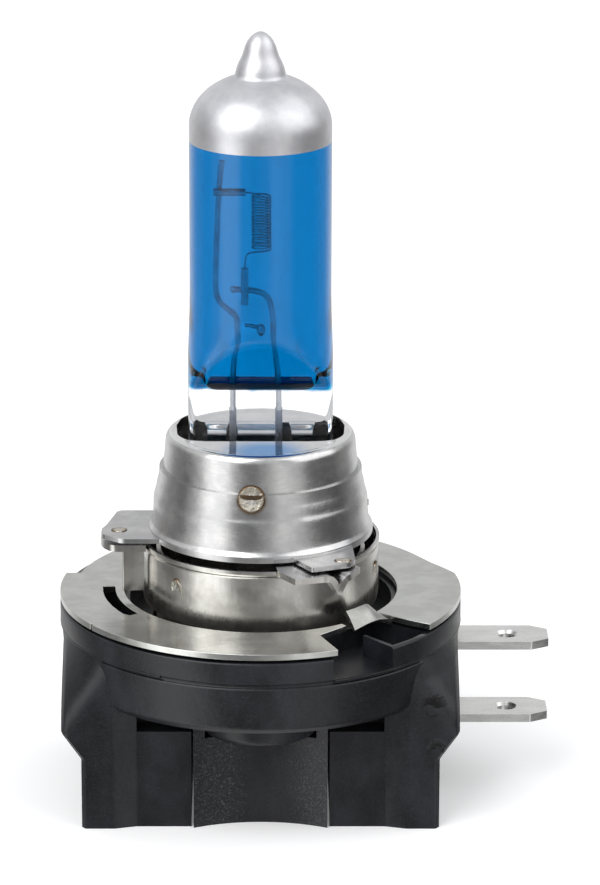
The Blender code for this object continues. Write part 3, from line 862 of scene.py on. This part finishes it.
        def place(across: float, along: float) -> Point:
            """Where the tab lies, at these shares of its outline and depth."""
            spot = across * (len(outline) - 1)
            index = min(int(spot), len(outline) - 2)
            outer = Vector(outline[index]).lerp(Vector(outline[index + 1]), spot - index)
            angle = math.degrees(math.atan2(outer.y, outer.x))
            inner = Vector(polar(11.15, angle))
            point = inner.lerp(outer, along)
            wave = 1.0 - min(abs(across - 0.66) / 0.2, 1.0)
            fold = eased(wave, 0.0, 1.0) * eased(along, 0.1, 0.8)
            return point.x, point.y, self.tab_face + 0.3 - 1.3 * fold

        return sheet(48, 12, place, 0.6)

    def ring(self) -> None:
        """The 23 mm locating ring, with its tabs and the folded bracket under the left one."""
        radius = self.ring_radius
        outer = [(radius, 25.6), (radius, 25.15, 0.15), (11.32, 24.9, 0.2), (11.4, 24.4, 0.3),
                 (11.45, 20.1, 0.45), (11.3, 19.45)]
        ring = turned(shell(outer, self.ring_wall), closed=True)
        left = [(-11.2, 4.6), (-14.2, 4.4, 1.2), (-15.4, 1.0), (-15.4, -2.6, 0.9), (-14.3, -4.1, 0.5),
                (-11.0, -4.1)]
        rear = [polar(14.9, 44), polar(15.2, 57), polar(14.9, 70), polar(11.2, 75), polar(11.2, 38)]
        for outline in (left, rear):
            ring = carve(ring, prism(outline, self.tab_face, self.tab_face + 0.65), "UNION")
        ring = carve(ring, self.front_tab(), "UNION")
        bracket = [(-13.3, -3.6, 0.15), (-11.2, -3.5), (-11.2, -3.05), (-13.3, -3.15, 0.15)]
        ring = carve(ring, prism(bracket, 21.0, self.tab_face + 0.2), "UNION")
        for face in ring.faces:
            face.material_index = int(abs(face.normal.z) > 0.5)
        publish("locating_ring_steel", ring, [self.ring_steel, self.steel], ["locating_ring"],
                edge=0.07)

    def welds(self) -> None:
        """The weld dimples on the seam, the tabs and the ring."""
        angle = self.weld_angle
        WeldSpot("seam_weld", (*polar(9.76, angle), 32.2), (*polar(1, angle), 0.22),
                 (2.7, 2.6), 9.8).build()
        WeldSpot("front_tab_weld", (7.75, -11.2, 26.67), (0, 0, 1), (1.7, 1.1)).build()
        WeldSpot("left_tab_weld", (-13.6, -2.1, 26.67), (0, 0, 1), (1.6, 1.3)).build()
        WeldSpot("rear_tab_weld", (*polar(13.0, 57), 26.67), (0, 0, 1), (1.6, 1.3)).build()
        for turn in (-134.5, -14.5, 105.5):
            WeldSpot(f"ring_weld_{int(turn) % 360}", (*polar(11.42, turn), 22.6), (*polar(1, turn), -0.08),
                     (1.5, 2.4), 11.5).build()

    def build(self) -> None:
        """Makes every piece of the cap."""
        self.top_cup()
        self.clip()
        self.outer_cup()
        self.ring()
        self.welds()
        dress("inner_sleeve", self.ring_steel)


# ---------------------------------------------------------------- spring plate


@dataclass
class SpringPlate:
    """The stamped plate on the collar, and the two lugs sheared from its inner edge."""

    outer: float = 19.45
    rear: float = 18.1
    hole: float = 13.25
    low: float = 19.6
    high: float = 20.2
    roots: tuple[float, float] = (-35.8, 144.2)
    lug_sweep: float = 17.2
    lug_radii: tuple[float, float] = (13.45, 14.85)
    steel: bpy.types.Material = field(default_factory=lambda: Steel(
        "spring_steel_plate", (0.64, 0.645, 0.62), (0.54, 0.545, 0.515), 0.2, (0.12, 4.0, 4.0), 0.003).make())
    lug_steel: bpy.types.Material = field(default_factory=lambda: Steel(
        "bent_spring_steel", (0.44, 0.445, 0.42), (0.30, 0.30, 0.285), 0.3, (0.5, 3.0, 3.0), 0.003).make())

    def plate(self) -> None:
        """The flat plate with its cut-outs."""
        outline = arc(self.outer, 168, 372, 120) + [polar(18.9, 17), polar(18.3, 23)]
        outline += arc(self.rear, 30, 167, 80)
        plate = prism(outline, self.low, self.high)
        plate = carve(plate, bar(self.hole, (0, 0, 18), (0, 0, 22), TURN_STEPS))
        for root, is_front in zip(self.roots, (True, False)):
            edge = root + 1.3
            end, far = edge - self.lug_sweep - 2.7, edge - self.lug_sweep - 16.4
            rim = [(15.6, far), (15.6, edge - 15.0), (15.4, edge - 0.1)]
            if is_front:
                rim = [(22, far), (22, edge + 0.3), (self.outer, edge + 0.3), (17.25, edge - 0.1)]
            gap = [(15.0, far)] + rim + [(15.2, edge), (12, edge), (12, end), (13.95, end)]
            plate = carve(plate, sector(gap, 18, 22))
        slot = [(14.1, a) for a in (214, 208, 202, 196, 191, 186, 180)]
        slot += [(15.3, a) for a in (180, 186, 191, 196, 202, 208, 211.5)] + [(15.0, 214.0)]
        nick = [(19.0, 214.2), (20.5, 213.2), (20.5, 215.6)]
        for hole in (slot, nick):
            plate = carve(plate, sector(hole, 18, 22))
        publish("stamped_plate", plate, [self.steel], ["spring_plate"], edge=0.06)

    def lug(self, number: int, root: float, body: Body) -> None:
        """A lug twisted out of the plate, with its inner side raised."""
        inner, outer = self.lug_radii
        middle = (self.low + self.high) / 2

        def place(across: float, along: float) -> Point:
            """Where the lug lies, at these shares of its width and length."""
            travel, side = 1 - along, across
            lift = math.sin(min(travel / 0.45, 1.0) * math.pi / 2) - 0.12 * travel
            height = (1.0 - side) * 1.75 * lift + side * 0.35 * math.sin(travel * math.pi)
            height += 0.12 * math.sin(side * math.pi) * lift
            height *= eased(travel, 0.0, 0.12)
            widened = side * (outer - inner) + (side - 0.15) * 0.5 * (1 - eased(travel, 0.0, 0.3))
            x, y = polar(inner + widened, root + 1.28 - travel * (self.lug_sweep + 1.28))
            return x, y, middle + height

        lug = publish(f"twisted_lug_{number}", sheet(14, 40, place, 0.5), [self.lug_steel],
                      [f"spring_lug_{number}"], None)
        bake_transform(lug)

    def build(self) -> None:
        """Makes the plate and its lugs."""
        self.plate()
        for number, (root, body) in enumerate(zip(self.roots, (Body.FRONT_LUG, Body.REAR_LUG)), 1):
            self.lug(number, root, body)


# ---------------------------------------------------------------- base


@dataclass
class Base:
    """The moulded base and the contact carrier that slides up into it."""

    collar: float = 19.45
    collar_top: float = 19.3
    ledge: float = 17.2
    band_foot: float = 12.0
    front: float = 12.6
    leg_top: float = 16.9
    carrier_half: float = 6.4
    bore: float = 12.7
    boss: float = 5.85
    boss_y: float = -9.4
    well_top: float = 20.0
    blade_tops: tuple[float, float] = BLADE_TOPS
    plastic: bpy.types.Material = field(default_factory=lambda: Plastic(
        "moulded_nylon", (0.005, 0.0055, 0.007), (0.016, 0.017, 0.022), 0.34, 0.0,
        (((16.3, -12.3, 12.5), 0.62), ((16.8, -12.4, 8.2), 0.45))).make())
    # The carrier's strong light speckle is partly painted glints. It is kept off the middle as a painted
    # reflection.
    carrier_plastic: bpy.types.Material = field(default_factory=lambda: Plastic(
        "speckled_nylon", (0.005, 0.0055, 0.007), (0.014, 0.0145, 0.017), 0.34, 0.5,
        glint_free_half=1.2).make())

    def face_depth(self, x: float, z: float) -> float:
        """How far the legs' front face lies from the middle: flat below, round under the collar."""
        heights = ((0.0, 60.0), (7.0, 40.0), (9.7, 23.2), (12.0, 22.0), (15.0, 20.2), (17.0, 19.3))
        radius = heights[-1][1]
        for (low, first), (high, last) in zip(heights, heights[1:]):
            if z <= high:
                radius = first + (last - first) * max(z - low, 0.0) / (high - low)
                break
        circle = math.sqrt(max(radius * radius - x * x, 1.0))
        return (self.front ** -14 + circle ** -14) ** (-1 / 14)

    def half_width(self, z: float) -> float:
        """Half the width of the legs, with the slanted shoulder in their sides."""
        return 17.1 + 1.9 * min(max((z - 7.0) / 2.7, 0.0), 1.0)

    def legs(self) -> BMesh:
        """The legs as one dense block, whose corners round off a little."""
        bm = bmesh.new()
        bmesh.ops.create_grid(bm, x_segments=96, y_segments=68, size=0.5)

        def front(co: Vector) -> Point:
            """Sends one point of the flat grid to the legs' front face."""
            z = self.leg_top * (co.y + 0.5)
            half = self.half_width(z)
            x = half * math.sin(co.x * math.pi)
            return x, 0.45 * eased(abs(x), half - 0.5, half) ** 2 - self.face_depth(x, z), z

        shaped(bm, front)
        rear = bmesh.ops.extrude_face_region(bm, geom=bm.faces[:])["geom"]
        for vert in (v for v in rear if isinstance(v, BMVert)):
            vert.co.y = -vert.co.y
        bmesh.ops.recalc_face_normals(bm, faces=bm.faces)
        return bm

    def bores(self) -> list[BMesh]:
        """The spaces cut before the boss is joined: the cap's bore and the carrier's bay."""
        return [bar(self.bore, (0, 0, self.ledge), (0, 0, self.well_top), TURN_STEPS),
                bar(10.5, (0, 0, 16), (0, 0, 18), 96),
                block((-6.6, 6.6), (-14, 14), (-1, 11.7))]

    def rooms(self) -> list[BMesh]:
        """The spaces cut after it: blade ways, hollows, windows, panels and wells."""
        high, low = self.blade_tops
        cuts = [block((-3.7, 3.0), (-2.8, 2.8), (11, 16.5)),
                block((0.4, 30), (-2.75, 2.75), (high - 1.1, high + 0.3)),
                block((6.0, 30), (-2.75, 2.75), (low - 1.1, low + 0.3))]
        cuts += [block(x, (-9, 9), (-1, 6.2), 0.8) for x in ((-15.4, -8.6), (8.6, 15.4))]
        for side in (-1, 1):
            for end in (-1, 1):
                window, depth = sorted((side * 6.3, side * 11.8)), sorted((end * 9.5, end * 14.0))
                cuts.append(block(window, depth, (9.7, 11.9)))
                deep, level = end * (self.front - 0.6), end * self.front
                panel = [(side * 6.3, deep), (side * 11.85, deep), (side * 13.95, level),
                         (side * 13.95, end * 14.0), (side * 6.3, end * 14.0)]
                cuts.append(prism(panel, -1, 11.9))
        wells = (((13, -69.5), (22, -69.5), (22, -50.2), (13, -50.2)),
                 ((13, -48.9), (18.9, -48.9), (18.95, -41.5), (18.9, -34.2), (13, -34.2)),
                 ((12.9, -53.0), (15.2, -53.0), (15.2, -45.0), (12.9, -45.0)),
                 ((12.0, 124.0), (15.6, 124.0), (15.6, 135.0), (15.6, 146.0), (12.0, 146.0)),
                 ((13.6, 178), (15.8, 178), (15.8, 197), (15.8, 216), (13.6, 216), (13.6, 197)))
        cuts += [sector(outline, self.ledge + 0.1, self.well_top) for outline in wells]
        return cuts

    def body(self) -> None:
        """The moulded body: collar, band and legs, with the round boss under the band."""
        profile = [(0.0, self.collar_top), (self.collar, self.collar_top, 0.25),
                   (self.collar, self.ledge, 0.12), (19.05, 17.05, 0.1), (19.05, 16.8, 0.1),
                   (19.3, 16.6, 0.15), (18.95, 12.6, 0.2), (18.4, self.band_foot), (0.0, self.band_foot)]
        bm = carve(turned(profile), self.legs(), "UNION")
        for cut in self.bores():
            bm = carve(bm, cut)
        boss = bar(self.boss, (0, self.boss_y, 9.2), (0, self.boss_y, 13), 96)
        bmesh.ops.bevel(boss, geom=[e for e in boss.edges if all(v.co.z < 10 for v in e.verts)],
                        offset=0.9, segments=5, affect="EDGES", profile=0.5, material=-1)
        bm = carve(bm, boss, "UNION")
        for cut in self.rooms():
            bm = carve(bm, cut)
        bead = tube([(*polar(19.3, a), 17.12) for a in range(-69, 242, 2)], 0.17, 3, smooth=False)
        bm = carve(bm, bead, "UNION")
        rib = sector(((15.3, -48.2), (17.0, -48.2), (16.6, -45.0), (15.3, -43.4)), 17.0, 18.3)
        bm = carve(bm, rib, "UNION")
        publish("moulded_base", bm, [self.plastic], ["base_body"], edge=0.12, sharp=28.0)

    def carrier(self) -> None:
        """The insert in the middle of the base, hollowed front and back."""
        half, low = self.carrier_half, self.blade_tops[1]
        bm = block((-half, half), (-12.4, 12.4), (0, 11.4))
        radius = 14.4
        for end in (-1, 1):
            middle = end * (10.9 + radius)
            bm = carve(bm, bar(radius, (0, middle, -1), (0, middle, 12), 192))
        bm = carve(bm, bar(self.boss + 0.05, (0, self.boss_y, 9), (0, self.boss_y, 12), 96))
        bm = carve(bm, block((-3.9, 8.0), (-2.7, 2.7), (low - 1.1, 12)))
        publish("carrier_insert", bm, [self.carrier_plastic], ["contact_carrier"],
                edge=0.12, sharp=28.0)

    def build(self) -> None:
        """Makes the base and its insert."""
        self.body()
        self.carrier()


@dataclass
class Blades:
    """The two blade terminals."""

    tops: tuple[float, float] = BLADE_TOPS
    width: float = 4.8
    thickness: float = 0.8
    tip: float = 28.0
    hole_x: float = 24.0
    tin: bpy.types.Material = field(default_factory=lambda: PlainMetal(
        "tin_plate", (0.84, 0.84, 0.82), 0.28, (0.5, 2.5, 2.5), 0.006, 0.12).make())

    def blade(self, name: str, node: str, top: float, stem_x: float, stem_top: float) -> None:
        """One blade with a cut-cornered end, a countersunk hole and a stem."""
        half, start = self.width / 2, stem_x - 0.4
        outline = [(start, -half), (self.tip - 1.7, -half, 0.1), (self.tip, -half + 1.0, 0.1),
                   (self.tip, half - 1.0, 0.1), (self.tip - 1.7, half, 0.1), (start, half)]
        bm = prism(outline, top - self.thickness, top)
        x = self.hole_x
        bm = carve(bm, bar(0.82, (x, 0, top - 2), (x, 0, top + 1), 40))
        bm = carve(bm, bar(0.8, (x, 0, top - 0.3), (x, 0, top + 0.01), 40, 1.1))
        bm = carve(bm, block((start, start + 0.8), (-1.2, 1.2), (top - 0.2, stem_top)), "UNION")
        publish(name, bm, [self.tin], [node], edge=0.14)

    def build(self) -> None:
        """Makes both blades."""
        high, low = self.tops
        self.blade("upper_blade", "upper_blade_terminal", high, 1.75, high + 2.7)
        self.blade("lower_blade", "lower_blade_terminal", low, -2.65, low + 4.0)
        nickel = PlainMetal("nickel_wire", (0.55, 0.54, 0.52), 0.3).make()
        for node in ("left_lead_pin", "right_lead_pin"):
            dress(node, nickel)


# ---------------------------------------------------------------- stage


@dataclass
class Stage:
    """The floor, the soft studio light and the camera."""

    distance: float = 0.3916
    height: float = 0.15678
    pitch: float = 17.3
    focal: float = 4.8203  # focal length, in long sides of the frame
    across: float = 0.0446  # how far the frame is shifted sideways, in long sides
    sensor: float = 36.0
    brightness: float = 2.1  # of the light from all round

    def camera(self) -> None:
        """Places the camera in front of the bulb and a little above it."""
        data = bpy.data.cameras.new("camera")
        data.sensor_width, data.lens, data.shift_x = self.sensor, self.sensor * self.focal, self.across
        data.clip_start, data.clip_end = 0.01, 20.0
        made = bpy.data.objects.new("camera", data)
        made.location = (0, -self.distance, self.height)
        made.rotation_euler = (math.radians(90 - self.pitch), 0, 0)
        bpy.context.scene.collection.objects.link(made)
        bpy.context.scene.camera = made

    def floor(self) -> None:
        """A wide pale floor, which polished metal doesn't mirror."""
        bm = bmesh.new()
        bmesh.ops.create_grid(bm, x_segments=4, y_segments=4, size=4.0)
        made = as_object("floor", bm)
        graph = Graph("pale_floor")
        made.data.materials.append(graph.finish(Base_Color=(0.93, 0.93, 0.935), Roughness=0.9,
                                                Specular_IOR_Level=0.1, Emission_Color=(1.0, 1.0, 1.0),
                                                Emission_Strength=0.18))
        made.visible_glossy = False

    def light(self, name: str, place: Point, size: float, power: float) -> None:
        """A square soft light that points at the bulb."""
        data = bpy.data.lights.new(name, "AREA")
        data.size, data.energy = size, power
        made = bpy.data.objects.new(name, data)
        made.location = place
        aim = Vector((0, 0, 0.035)) - Vector(place)
        made.rotation_euler = aim.to_track_quat("-Z", "Y").to_euler()
        made.visible_camera = False
        bpy.context.scene.collection.objects.link(made)

    def world(self) -> None:
        """Light from all round: pale above, with a bright panel to the left and a dimmer one right."""
        world = bpy.data.worlds.new("studio")
        world.use_nodes = True
        bpy.context.scene.world = world
        wiring = Wiring(world.node_tree)
        split = wiring.add("ShaderNodeSeparateXYZ",
                           {0: wiring.add("ShaderNodeTexCoord").outputs["Generated"]})
        forward = wiring.math("MULTIPLY", split.outputs[1], -1.0)
        turn = wiring.math("ARCTAN2", split.outputs[0], forward)
        share = wiring.add("ShaderNodeMapRange", {"Value": turn, "From Min": -math.pi, "From Max": math.pi})
        ramp = wiring.add("ShaderNodeValToRGB", {0: share.outputs[0]})
        stops = ((-180, 0.34), (-150, 0.44), (-118, 0.16), (-94, 0.10), (-76, 0.28), (-60, 0.85), (-42, 0.8),
                 (-26, 0.17), (-8, 0.11), (8, 0.2), (24, 0.46), (42, 0.34), (60, 0.09), (92, 0.06),
                 (120, 0.14), (150, 0.44), (180, 0.34))
        elements = ramp.color_ramp.elements
        ramp.color_ramp.interpolation = "EASE"
        for angle, level in stops[1:-1]:
            elements.new(angle / 360 + 0.5)
        for element, (angle, level) in zip(elements, stops):
            element.position = angle / 360 + 0.5
            element.color = (level, level, level, 1.0)
        above = wiring.span(split.outputs[2], 0.1, 0.55)
        wiring.feed(world.node_tree.nodes["Background"], {
            "Color": wiring.mix(above, ramp.outputs[0], (0.33, 0.333, 0.338)), "Strength": self.brightness})

    def build(self) -> None:
        """Sets the whole stage."""
        self.camera()
        self.floor()
        self.world()
        self.light("key_light", (-0.55, -0.55, 0.8), 0.9, 7.5)
        self.light("fill_light", (0.7, -0.2, 0.6), 1.0, 3.5)
        bpy.context.scene.view_settings.view_transform = "Standard"


def main() -> None:
    """Builds the bulb and its stage."""
    logging.basicConfig(level=logging.INFO, format="%(name)s: %(message)s")
    Stage().build()
    Capsule().build()
    Burner().build()
    Cap().build()
    SpringPlate().build()
    Base().build()
    Blades().build()


if __name__ == "__main__":
    main()
